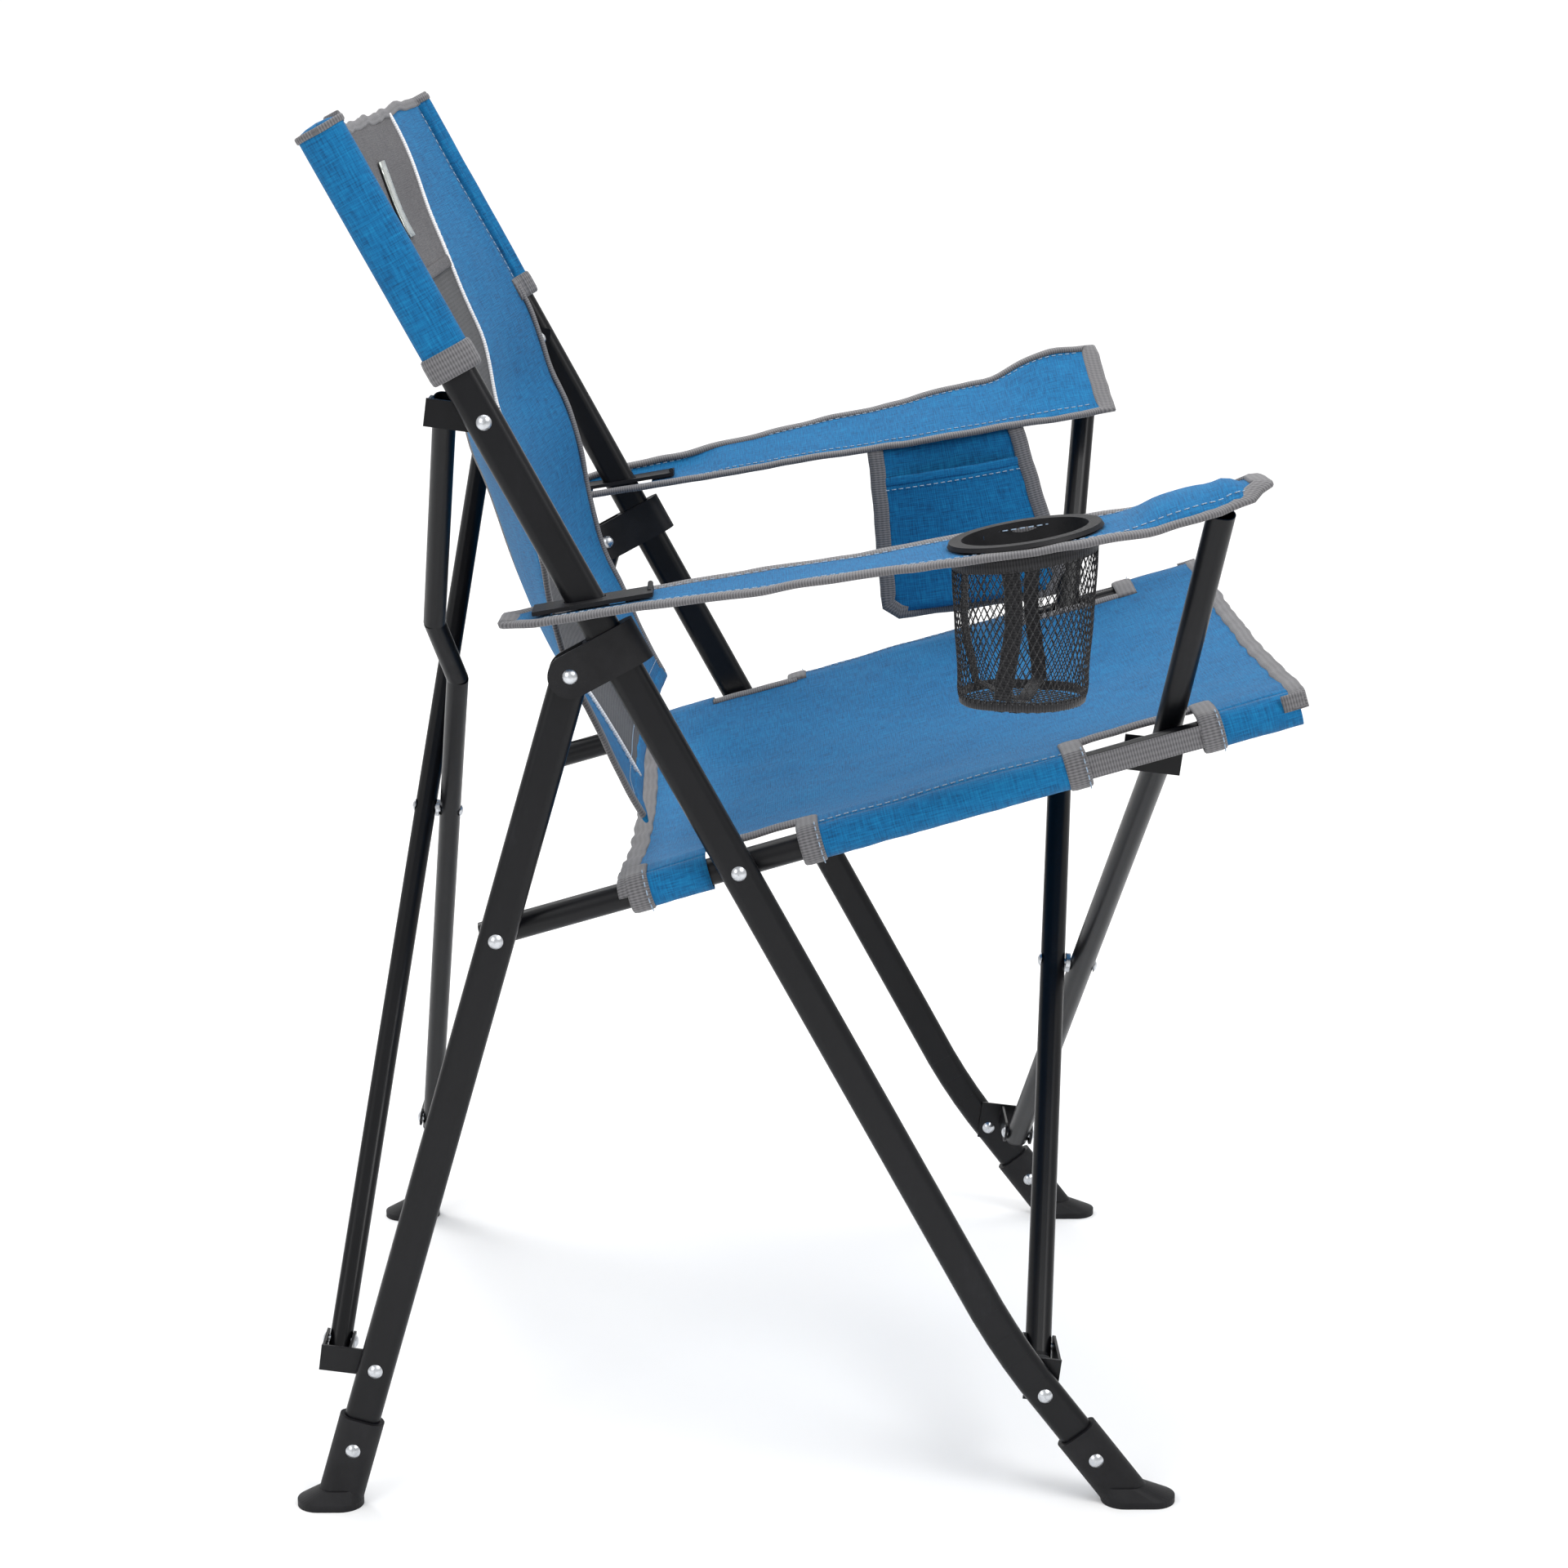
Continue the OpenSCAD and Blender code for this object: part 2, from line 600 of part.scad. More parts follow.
module cup_bag() {
    r = cup_d / 2 + 6.5;
    color(plastic_col) translate([-arm_x, mid_y - cup_pt[0], cup_pt[1] - cup_h - 18])
        rotate_extrude($fn = 96) polygon([[0, 0], [r - 8, 0], [r - 5, 2], [r - 2, 45], [r, cup_h],
            [r - 1.6, cup_h], [r - 3.6, 45], [r - 6.5, 3], [r - 8.6, 1.6], [0, 1.6]]);
}

pocket_u = 289;             // middle of the pocket in front of the armrest plate
pocket_l = 124;
pocket_h = 140;

module side_pocket() {
    color(blue_col) arm_frame(R, arm_x - arm_w / 2 + 7) translate([0, -pocket_u, -pocket_h / 2 - 5.5]) difference() {
        cube([14, pocket_l, pocket_h], center = true);
        translate([0, 0, 2]) cube([10.4, pocket_l - 4, pocket_h], center = true);
    }
}

// ---- Fabric of the back and the seat ----

module back_sleeve(s) {
    color(blue_col) post_frame(s, 408) linear_extrude(post_top + 6 - 408) difference() {
        oval(oval_d + 5, oval_t + 5);
        oval(oval_d + 0.8, oval_t + 0.8);
    }
}

// Full width above the armrests, narrower where it passes between them
module back_sling() {
    color(grey_col) place(0, pivot, -post_lean) rotate([90, 0, 90]) {
        linear_extrude(frame_w - 28, center = true) polygon([[2, 604], [-2, 604], [-2, 300], [2, 300]]);
        linear_extrude(frame_w - 64, center = true)
            polygon([[2, 304], [-2, 304], [-2, 300], [46, 62], [50, 62], [2, 302]]);
    }
}

module seat_sleeve(s) {
    color(blue_col) for (z = [[-82, 60], [48, 204], [357, 63]]) rail_frame(s, z[0])
        linear_extrude(z[1]) round_ring(rail_d + 3, 1.2);
}

module seat_sling() {
    half = frame_w / 2 - rail_e - rail_d / 2 - 3.6;
    notch = 46;
    color(blue_col) place(0, pivot, 90 - rail_rise) difference() {
        translate([-half, -3, -82]) cube([2 * half, 4, 497]);
        for (k = [-1, 1]) translate([k * half, 0, rail_bracket + front_mid])
            cube([2 * notch, 40, 92], center = true);
    }
}

post(L);  // post_left
post(R);  // post_right
rear_leg(L);  // rear_leg_left
rear_leg(R);  // rear_leg_right
seat_rail(L);  // seat_rail_left
seat_rail(R);  // seat_rail_right
collar(L);  // collar_left
collar(R);  // collar_right
front_brace(L);  // front_brace_left
front_brace(R);  // front_brace_right
rear_brace(L);  // rear_brace_left
rear_brace(R);  // rear_brace_right
foot_bracket(L);  // foot_bracket_left
foot_bracket(R);  // foot_bracket_right
seat_bracket(L);  // seat_bracket_left
seat_bracket(R);  // seat_bracket_right
top_bracket(L);  // top_bracket_left
top_bracket(R);  // top_bracket_right
leg_bracket(L);  // leg_bracket_left
leg_bracket(R);  // leg_bracket_right
front_foot(L);  // front_foot_left
front_foot(R);  // front_foot_right
rear_foot(L);  // rear_foot_left
rear_foot(R);  // rear_foot_right
post_rivets(L);  // post_rivets_left
post_rivets(R);  // post_rivets_right
leg_rivets(L);  // leg_rivets_left
leg_rivets(R);  // leg_rivets_right
collar_rivet(L);  // collar_rivet_left
collar_rivet(R);  // collar_rivet_right
foot_pin(L);  // foot_pin_left
foot_pin(R);  // foot_pin_right
seat_pin(L);  // seat_pin_left
seat_pin(R);  // seat_pin_right
top_pin(L);  // top_pin_left
top_pin(R);  // top_pin_right
leg_pin(L);  // leg_pin_left
leg_pin(R);  // leg_pin_right
front_cross_pin();
rear_cross_pin();
rear_cross_head();
rail_spacers(L);  // rail_spacers_left
rail_spacers(R);  // rail_spacers_right
front_cap(L);  // front_cap_left
front_cap(R);  // front_cap_right
rear_cap(L);  // rear_cap_left
rear_cap(R);  // rear_cap_right
arm_plate(L);  // arm_plate_left
arm_plate(R);  // arm_plate_right
armrest(L);  // armrest_left
armrest(R);  // armrest_right
cup_ring();
cup_bag();
side_pocket();
back_sleeve(L);  // back_sleeve_left
back_sleeve(R);  // back_sleeve_right
seat_sleeve(L);  // seat_sleeve_left
seat_sleeve(R);  // seat_sleeve_right
back_sling();
seat_sling();
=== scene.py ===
import json
import math

import bpy
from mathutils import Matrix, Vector, noise


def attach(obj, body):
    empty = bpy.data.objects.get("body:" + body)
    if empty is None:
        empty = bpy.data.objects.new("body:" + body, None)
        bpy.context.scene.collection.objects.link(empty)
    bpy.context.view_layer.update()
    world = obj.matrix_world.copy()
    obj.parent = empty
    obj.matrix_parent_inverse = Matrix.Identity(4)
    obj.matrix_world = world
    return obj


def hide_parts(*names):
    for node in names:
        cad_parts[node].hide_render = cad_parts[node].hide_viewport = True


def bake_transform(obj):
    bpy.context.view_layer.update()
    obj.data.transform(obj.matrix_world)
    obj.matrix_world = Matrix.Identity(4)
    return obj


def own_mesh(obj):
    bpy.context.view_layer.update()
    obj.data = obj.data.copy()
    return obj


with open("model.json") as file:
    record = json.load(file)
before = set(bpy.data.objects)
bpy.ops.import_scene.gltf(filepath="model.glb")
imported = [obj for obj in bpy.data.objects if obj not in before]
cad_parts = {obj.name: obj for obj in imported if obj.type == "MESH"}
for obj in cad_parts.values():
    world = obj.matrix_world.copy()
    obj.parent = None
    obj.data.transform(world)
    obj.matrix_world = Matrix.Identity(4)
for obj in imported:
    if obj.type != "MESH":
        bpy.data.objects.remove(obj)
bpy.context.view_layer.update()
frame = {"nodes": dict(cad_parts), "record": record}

# ---- Size of the chair, in metres ----
W = 0.610            # distance between the two side frames
MID = 0.0365         # the seat pivot is this far behind the origin
PZ = 0.492           # height of the seat pivot
LEAN = math.radians(28.5)      # how far the posts lean back
RISE = math.radians(16.0)      # how far the seat rails rise to the front
ARM_RISE = math.radians(9.4)   # how far the armrests rise to the front
RAIL_X = W / 2 - 0.0225        # middle of a seat rail
ARM_X = 0.326        # middle of the cup ring
CUP_D = 0.312        # cup ring ahead of the armrest plate
PLATE_A = 0.224      # armrest plate above the pivot, along the post
SIDES = ((-1, "left"), (1, "right"))


def post_pt(x, a, f=0.0):
    """a along the post from the pivot, f ahead of it."""
    u = -a * math.sin(LEAN) + f * math.cos(LEAN)
    return Vector((x, MID - u, PZ + a * math.cos(LEAN) + f * math.sin(LEAN)))


def rail_pt(x, s, n=0.0):
    """s along the seat rail from the pivot, n above it."""
    u = s * math.cos(RISE) - n * math.sin(RISE)
    return Vector((x, MID - u, PZ + s * math.sin(RISE) + n * math.cos(RISE)))


def arm_pt(x, d, n=0.0):
    """d along the armrest from its plate, n above it."""
    p = post_pt(x, PLATE_A)
    return p + Vector((0, -d * math.cos(ARM_RISE) + n * math.sin(ARM_RISE),
                       d * math.sin(ARM_RISE) + n * math.cos(ARM_RISE)))


def lerp(a, b, t):
    return a + (b - a) * t


def ramp(t, *pairs):
    """Smooth value through (t, value) pairs."""
    if t <= pairs[0][0]:
        return pairs[0][1]
    for (t0, v0), (t1, v1) in zip(pairs, pairs[1:]):
        if t <= t1:
            k = (t - t0) / (t1 - t0)
            return lerp(v0, v1, k * k * (3 - 2 * k))
    return pairs[-1][1]


def steps(a, b, size):
    n = max(1, round(abs(b - a) / size))
    return [lerp(a, b, i / n) for i in range(n + 1)]


# ---- Materials ----

class Nodes:
    """A small helper that builds a material's node tree."""

    def __init__(self, name):
        self.mat = bpy.data.materials.new(name)
        self.mat.use_nodes = True
        self.tree = self.mat.node_tree
        self.bsdf = self.tree.nodes["Principled BSDF"]

    def add(self, kind, **values):
        n = self.tree.nodes.new(kind)
        for k, v in values.items():
            if k in n.inputs:
                n.inputs[k].default_value = v
            else:
                setattr(n, k, v)
        return n

    def link(self, a, b):
        self.tree.links.new(a, b)

    def put(self, **values):
        for k, v in values.items():
            self.bsdf.inputs[k.replace("_", " ")].default_value = v

    def coords(self, kind, scale):
        c = self.add("ShaderNodeTexCoord")
        m = self.add("ShaderNodeMapping")
        m.inputs["Scale"].default_value = scale
        self.link(c.outputs[kind], m.inputs["Vector"])
        return m.outputs["Vector"]

    def noise(self, kind, scale, detail=2.0, rough=0.5):
        n = self.add("ShaderNodeTexNoise", Scale=1.0, Detail=detail, Roughness=rough)
        self.link(self.coords(kind, scale), n.inputs["Vector"])
        return n.outputs["Fac"]

    def wave(self, kind, scale, direction="X"):
        n = self.add("ShaderNodeTexWave", Scale=1.0)
        n.bands_direction = direction
        self.link(self.coords(kind, scale), n.inputs["Vector"])
        return n.outputs["Fac"]

    def math(self, op, a, b):
        n = self.add("ShaderNodeMath")
        n.operation = op
        for i, v in enumerate((a, b)):
            if isinstance(v, (int, float)):
                n.inputs[i].default_value = v
            else:
                self.link(v, n.inputs[i])
        return n.outputs[0]

    def colors(self, fac, *stops):
        n = self.add("ShaderNodeValToRGB")
        e = n.color_ramp.elements
        while len(e) < len(stops):
            e.new(0.5)
        for el, (pos, col) in zip(e, stops):
            el.position = pos
            el.color = (*col, 1.0)
        self.link(fac, n.inputs["Fac"])
        return n.outputs["Color"]

    def bump(self, height, strength, distance):
        n = self.add("ShaderNodeBump", Strength=strength, Distance=distance)
        self.link(height, n.inputs["Height"])
        self.link(n.outputs["Normal"], self.bsdf.inputs["Normal"])

    def rough(self, fac, low, high):
        n = self.add("ShaderNodeMapRange")
        n.inputs["To Min"].default_value = low
        n.inputs["To Max"].default_value = high
        self.link(fac, n.inputs["Value"])
        self.link(n.outputs["Result"], self.bsdf.inputs["Roughness"])


def cloth_material(name, dark, mid, light, thread=0.0011, slub=0.016, sheen=0.05):
    """Melange weave: short slubs run both ways along the cloth's own directions."""
    m = Nodes(name)
    a = m.noise("UV", (1 / slub, 1 / thread, 1), 3.0, 0.6)
    b = m.noise("UV", (1 / thread, 1 / slub, 1), 3.0, 0.6)
    big = m.noise("UV", (9, 9, 1), 2.0)
    mix = m.math("ADD", m.math("MULTIPLY", a, 0.5), m.math("MULTIPLY", b, 0.5))
    mix = m.math("ADD", mix, m.math("MULTIPLY", m.math("SUBTRACT", big, 0.5), 0.12))
    m.link(m.colors(mix, (0.36, dark), (0.5, mid), (0.66, light)), m.bsdf.inputs["Base Color"])
    m.rough(a, 0.78, 0.95)
    ribs = (1 / 0.0052, 1 / 0.0052, 1)
    warp = m.wave("UV", ribs, "X")
    weft = m.wave("UV", ribs, "Y")
    h = m.math("ADD", m.math("MULTIPLY", warp, 0.3), m.math("MULTIPLY", weft, 0.3))
    m.bump(m.math("ADD", h, mix), 0.35, 0.0006)
    m.put(Sheen_Weight=sheen, Sheen_Roughness=0.5, Specular_IOR_Level=0.25)
    return m.mat


def webbing_material(name, dark, light):
    """Ribbed tape: ribs run across the tape, which lies along U."""
    m = Nodes(name)
    rib = m.wave("UV", (1 / 0.0065, 1, 1), "X")
    cross = m.wave("UV", (1, 1 / 0.013, 1), "Y")
    n = m.noise("UV", (700, 700, 1), 2.0)
    f = m.math("ADD", m.math("MULTIPLY", rib, 0.45), m.math("MULTIPLY", cross, 0.2))
    f = m.math("ADD", f, m.math("MULTIPLY", n, 0.35))
    m.link(m.colors(f, (0.15, dark), (0.8, light)), m.bsdf.inputs["Base Color"])
    m.rough(n, 0.75, 0.95)
    m.bump(f, 0.55, 0.0008)
    m.put(Sheen_Weight=0.2, Specular_IOR_Level=0.3)
    return m.mat


def paint_material():
    m = Nodes("powder_coat")
    grain = m.noise("Object", (900, 900, 900), 2.0)
    cloud = m.noise("Object", (14, 14, 14), 4.0, 0.6)
    scuff = m.noise("Object", (260, 260, 34), 5.0, 0.75)
    f = m.math("ADD", m.math("MULTIPLY", cloud, 0.7), m.math("MULTIPLY", scuff, 0.3))
    m.link(m.colors(f, (0.3, (0.0015, 0.0017, 0.0025)), (0.6, (0.003, 0.0032, 0.0045)),
                    (0.8, (0.010, 0.0105, 0.013))), m.bsdf.inputs["Base Color"])
    m.rough(m.math("ADD", m.math("MULTIPLY", f, 0.7), m.math("MULTIPLY", grain, 0.3)), 0.22, 0.46)
    m.bump(grain, 0.12, 0.0002)
    m.put(Specular_IOR_Level=0.22, Coat_Weight=0.06, Coat_Roughness=0.15)
    return m.mat


def plastic_material():
    m = Nodes("black_plastic")
    grain = m.noise("Object", (1300, 1300, 1300), 2.0)
    cloud = m.noise("Object", (40, 40, 40), 4.0, 0.6)
    m.link(m.colors(cloud, (0.3, (0.003, 0.003, 0.004)), (0.7, (0.009, 0.009, 0.0105))),
           m.bsdf.inputs["Base Color"])
    m.rough(m.math("ADD", m.math("MULTIPLY", grain, 0.5), m.math("MULTIPLY", cloud, 0.5)), 0.42, 0.72)
    m.bump(grain, 0.25, 0.0003)
    m.put(Specular_IOR_Level=0.25)
    return m.mat


def steel_material(name="zinc_steel", tint=(0.62, 0.64, 0.67)):
    m = Nodes(name)
    fine = m.noise("Object", (1500, 1500, 300), 3.0, 0.6)
    cloud = m.noise("Object", (220, 220, 220), 3.0)
    m.link(m.colors(cloud, (0.3, tuple(0.75 * c for c in tint)), (0.7, tint)),
           m.bsdf.inputs["Base Color"])
    m.rough(m.math("ADD", m.math("MULTIPLY", fine, 0.5), m.math("MULTIPLY", cloud, 0.5)), 0.16, 0.42)
    m.bump(fine, 0.1, 0.0002)
    m.put(Metallic=1.0)
    return m.mat


def net_material():
    """Fine knitted net of the back: small holes between dark threads."""
    m = Nodes("knitted_net")
    holes = (1 / 0.0105, 1 / 0.0105, 1)
    a = m.wave("UV", holes, "X")
    b = m.wave("UV", holes, "Y")
    n = m.noise("UV", (60, 300, 1), 3.0)
    f = m.math("MULTIPLY", a, b)
    m.link(m.colors(m.math("ADD", f, m.math("MULTIPLY", n, 0.3)),
                    (0.1, (0.035, 0.035, 0.038)), (0.9, (0.012, 0.012, 0.014))),
           m.bsdf.inputs["Base Color"])
    m.rough(n, 0.7, 0.9)
    m.bump(f, 0.5, 0.0006)
    m.put(Sheen_Weight=0.15, Specular_IOR_Level=0.25)
    return m.mat


BLUE = cloth_material("blue_melange", (0.0006, 0.056, 0.150), (0.0012, 0.108, 0.270),
                      (0.005, 0.170, 0.360))
GREY = cloth_material("grey_cloth", (0.055, 0.053, 0.057), (0.085, 0.083, 0.088),
                      (0.13, 0.128, 0.134), slub=0.010)
NET = net_material()
TAPE = webbing_material("grey_tape", (0.062, 0.061, 0.065), (0.165, 0.162, 0.170))
BLACK_TAPE = webbing_material("black_tape", (0.006, 0.006, 0.007), (0.03, 0.03, 0.033))
PIPE = webbing_material("white_piping", (0.55, 0.55, 0.56), (0.86, 0.86, 0.87))
THREAD = webbing_material("pale_thread", (0.16, 0.25, 0.36), (0.34, 0.44, 0.56))
PAINT = paint_material()
PLASTIC = plastic_material()
STEEL = steel_material()
LABEL = steel_material("label_metal", (0.5, 0.53, 0.5))
CORD = webbing_material("black_cord", (0.004, 0.004, 0.005), (0.016, 0.016, 0.018))


# ---- Mesh helpers ----

def mesh_object(name, verts, faces, uvs, mat):
    me = bpy.data.meshes.new(name)
    me.from_pydata([tuple(v) for v in verts], [], faces)
    me.materials.append(mat)
    layer = me.uv_layers.new(name="UVMap")
    for poly in me.polygons:
        poly.use_smooth = True
        for li in poly.loop_indices:
            layer.data[li].uv = uvs[me.loops[li].vertex_index]
    me.validate()
    ob = bpy.data.objects.new(name, me)
    bpy.context.scene.collection.objects.link(ob)
    return ob


def sheet_object(name, rows, uv_rows, mat, keep=None, thick=0.0012, mats=None, pick=None):
    """A cloth surface from rows of points.

    keep(i, j) says which faces exist, and pick(i, j) which of mat and mats each one has.
    """
    nj = len(rows[0])
    verts = [p for r in rows for p in r]
    uvs = [q for r in uv_rows for q in r]
    faces = []
    tags = []
    for i in range(len(rows) - 1):
        for j in range(nj - 1):
            if keep is None or keep(i, j):
                faces.append((i * nj + j, i * nj + j + 1, (i + 1) * nj + j + 1, (i + 1) * nj + j))
                tags.append(pick(i, j) if pick else 0)
    used = sorted({k for f in faces for k in f})
    new = {k: n for n, k in enumerate(used)}
    faces = [tuple(new[k] for k in f) for f in faces]
    ob = mesh_object(name, [verts[k] for k in used], faces, [uvs[k] for k in used], mat)
    for extra in (mats or []):
        ob.data.materials.append(extra)
    for poly, tag in zip(ob.data.polygons, tags):
        poly.material_index = tag
    if thick:
        mod = ob.modifiers.new("thickness", "SOLIDIFY")
        mod.thickness = thick
        mod.offset = 0.0
    return ob


def strip(name, path, across, width, thick, mat, sides=10, closed=False, wave=0.0):
    """A soft tape swept along path; across gives the direction of its width at each point."""
    verts, uvs, faces = [], [], []
    run = 0.0
    n = len(path)
    for i, p in enumerate(path):
        a = path[(i + 1) % n if closed else min(i + 1, n - 1)]
        b = path[i - 1 if closed or i > 0 else 0]
        t = (a - b).normalized()
        w = across[i] if isinstance(across, list) else across
        w = (w - t * w.dot(t)).normalized()
        h = t.cross(w)
        if i:
            run += (p - path[i - 1]).length
        shift = wave * noise.noise(Vector((run * 45, 3.1, 0.7)))
        for k in range(sides):
            ang = 2 * math.pi * k / sides
            c, s = math.cos(ang), math.sin(ang)
            cx = math.copysign(abs(c) ** 0.55, c) * width / 2
            cy = math.copysign(abs(s) ** 0.8, s) * thick / 2
            verts.append(p + w * (cx + shift) + h * (cy + shift * 0.6))
            uvs.append((run, cx))
    for i in range(n if closed else n - 1):
        for k in range(sides):
            k2 = (k + 1) % sides
            i2 = (i + 1) % n
            faces.append((i * sides + k, i * sides + k2, i2 * sides + k2, i2 * sides + k))
    if not closed:
        faces.append(tuple(reversed(range(sides))))
        faces.append(tuple((n - 1) * sides + k for k in range(sides)))
    return mesh_object(name, verts, faces, uvs, mat)


def tubes(name, segments, radius, mat, sides=5):
    """Many thin straight struts in one mesh."""
    verts, uvs, faces = [], [], []
    for a, b in segments:
        t = (b - a)
        if t.length < 1e-6:
            continue
        t.normalize()
        w = t.orthogonal().normalized()
        h = t.cross(w)
        base = len(verts)
        for p, v in ((a, 0.0), (b, (b - a).length)):
            for k in range(sides):
                ang = 2 * math.pi * k / sides
                verts.append(p + (w * math.cos(ang) + h * math.sin(ang)) * radius)
                uvs.append((v, k / sides * 0.01))
        for k in range(sides):
            k2 = (k + 1) % sides
            faces.append((base + k, base + k2, base + sides + k2, base + sides + k))
        faces.append(tuple(base + k for k in reversed(range(sides))))
        faces.append(tuple(base + sides + k for k in range(sides)))
    return mesh_object(name, verts, faces, uvs, mat)


STITCH_GAP = 0.0062
STITCH_LENGTH = 0.0040
STITCH_RADIUS = 0.00045


def stitches(name, path, lift=Vector((0, 0, 0))):
    """Separate stitches along a path, moved off it by lift."""
    segs = []
    run = 0.0
    want = 0.0
    for i in range(len(path) - 1):
        a, b = path[i], path[i + 1]
        d = (b - a).length
        while d > 0 and want < run + d:
            p = a.lerp(b, (want - run) / d) + lift
            segs.append((p, p + (b - a).normalized() * STITCH_LENGTH))
            want += STITCH_GAP
        run += d
    return tubes(name, segs, STITCH_RADIUS, THREAD)


def crumple(p, amount, scale, seed=0.0):
    """A soft unevenness of the cloth at p."""
    q = p * scale + Vector((seed, seed * 1.7, seed * 0.3))
    return amount * (noise.noise(q) + 0.5 * noise.noise(q * 2.3))


# ---- Looks of the CAD pieces ----

SLOT_LOOK = {"frame": PAINT, "plastic": PLASTIC, "steel": STEEL, "blue_fabric": BLUE,
             "grey_fabric": GREY, "mesh": CORD}
for part in frame["record"]["subparts"]:
    node = frame["nodes"][part["node"]]
    node.data.materials.clear()
    node.data.materials.append(SLOT_LOOK[part["material_slot"]])
    for poly in node.data.polygons:
        poly.material_index = 0

# ---- Seat ----

SEAT_REAR = -0.082   # ends of the cloth, along the rail from the pivot
SEAT_FRONT = 0.420
# where the cloth goes round the rails; it is cut out between these
SEAT_RINGS = ((SEAT_REAR, -0.022), (0.048, 0.262), (0.348, SEAT_FRONT))
SEAT_R = 0.0125      # radius of the cloth round a rail
WRAP_TURN = math.radians(285)
CUT_FRONT = 0.244    # half width at the cut-outs for the braces
CUT_REAR = 0.262     # half width at the cut-outs for the posts
CUT_SPLIT = 0.2      # the front cut-outs are ahead of this, the rear ones behind
SEAT_UP = Vector((0, 0.276, 0.961))


def in_rings(s):
    return any(a - 1e-6 <= s <= b + 1e-6 for a, b in SEAT_RINGS)


def seat_sag(x, s):
    k = 1 - (x / CUT_REAR) ** 2
    depth = ramp(s, (SEAT_REAR, 0.022), (0.0, 0.026), (0.3, 0.020), (SEAT_FRONT, 0.010))
    return SEAT_R - depth * max(0.0, k)


def seat_point(c, s):
    """c is the distance across the seat from the middle, following the cloth."""
    side = -1 if c < 0 else 1
    d = abs(c)
    if d <= RAIL_X:
        p = rail_pt(side * d, s, seat_sag(min(d, CUT_REAR), s))
        p += Vector((0, 0.28, 0.96)) * crumple(p, 0.0016, 11.0)
        return p
    ang = math.pi / 2 - (d - RAIL_X) / SEAT_R
    r = SEAT_R + 0.0006 * noise.noise(Vector((s * 60, ang * 2, side)))
    return rail_pt(side * (RAIL_X + r * math.cos(ang)), s, r * math.sin(ang))


def build_seat(name, where):
    """where is 0 for the cloth between the rails, -1 or 1 for the wrap round one rail."""
    cuts = sorted({s for ring in SEAT_RINGS for s in ring})
    ss = []
    for a, b in zip(cuts, cuts[1:]):
        ss += steps(a, b, 0.006)[:-1]
    ss.append(cuts[-1])
    half = steps(0, CUT_FRONT, 0.011)
    half += steps(CUT_FRONT, CUT_REAR, 0.006)[1:]
    half += steps(CUT_REAR, RAIL_X, 0.006)[1:]
    half += steps(RAIL_X, RAIL_X + SEAT_R * WRAP_TURN, 0.0034)[1:]
    cs = [-c for c in reversed(half[1:])] + half
    rows = [[seat_point(c, s) for c in cs] for s in ss]
    uv = [[(c, s) for c in cs] for s in ss]

    def keep(i, j):
        s = (ss[i] + ss[i + 1]) / 2
        c = (cs[j] + cs[j + 1]) / 2
        if where:
            return in_rings(s) and c * where > RAIL_X
        if in_rings(s):
            return abs(c) < RAIL_X
        return abs(c) < (CUT_FRONT if s > CUT_SPLIT else CUT_REAR)

    return sheet_object(name, rows, uv, BLUE, keep)


seat = build_seat("seat_cloth", 0)
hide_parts("seat_sling")
seat_parts = [seat]
for side, word in SIDES:
    wrap = build_seat("seat_wrap_" + word, side)
    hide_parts("seat_sleeve_" + word)
    seat_parts.append(wrap)


def around(side, s, extra, a0=95, a1=-190, n=26):
    """Points round the outside of a rail at s, from a0 degrees down to a1."""
    r = SEAT_R + extra
    pts = []
    for k in range(n + 1):
        a = math.radians(lerp(a0, a1, k / n))
        pts.append(rail_pt(side * (RAIL_X + r * math.cos(a)), s, r * math.sin(a)))
    return pts


along = rail_pt(0, 1) - rail_pt(0, 0)
for side, word in SIDES:
    for k, s in enumerate((-0.075, 0.055, 0.255, 0.355)):
        start = 0.235 if s > CUT_SPLIT else 0.258
        over = [seat_point(side * c, s) + SEAT_UP * 0.001 for c in steps(start, RAIL_X, 0.006)]
        loop = over + around(side, s, 0.001)[2:]
        seat_parts.append(strip("seat_loop_%s_%d" % (word, k), loop, along, 0.017, 0.0034, TAPE))
        seat_parts.append(stitches("seat_loop_stitch_%s_%d" % (word, k),
                                   [p + along * 0.006 for p in around(side, s, 0.0034, 80, -60, 12)],
                                   Vector((side * 0.0002, 0, 0))))
    for k, (s0, s1, c) in enumerate(((0.255, 0.355, CUT_FRONT), (-0.022, 0.055, CUT_REAR))):
        edge = [seat_point(side * c, s) for s in steps(s0, s1, 0.008)]
        seat_parts.append(strip("seat_cut_edge_%s_%d" % (word, k), edge,
                                Vector((1, 0, 0)), 0.015, 0.004, TAPE, wave=0.0015))
    out = RAIL_X + 0.0116
    strap = [rail_pt(side * out, s, 0.001) for s in steps(0.250, 0.360, 0.008)]
    seat_parts.append(strip("rail_strap_" + word, strap, SEAT_UP, 0.017, 0.0016, TAPE, wave=0.0006))
    hem = [seat_point(side * (RAIL_X - 0.004), s) + SEAT_UP * 0.0009 for s in steps(0.052, 0.252, 0.004)]
    seat_parts.append(stitches("seat_hem_stitch_" + word, hem, Vector((0, 0, 0.0003))))
HEM_X = RAIL_X + 0.018    # the end hems reach this far round the rails
front = [seat_point(c, SEAT_FRONT) for c in steps(-HEM_X, HEM_X, 0.007)]
seat_parts.append(strip("seat_front_edge", front, along, 0.013, 0.0045, TAPE, wave=0.002))
rear = [seat_point(c, SEAT_REAR) for c in steps(-HEM_X, HEM_X, 0.008)]
seat_parts.append(strip("seat_rear_edge", rear, along, 0.016, 0.004, TAPE, wave=0.002))
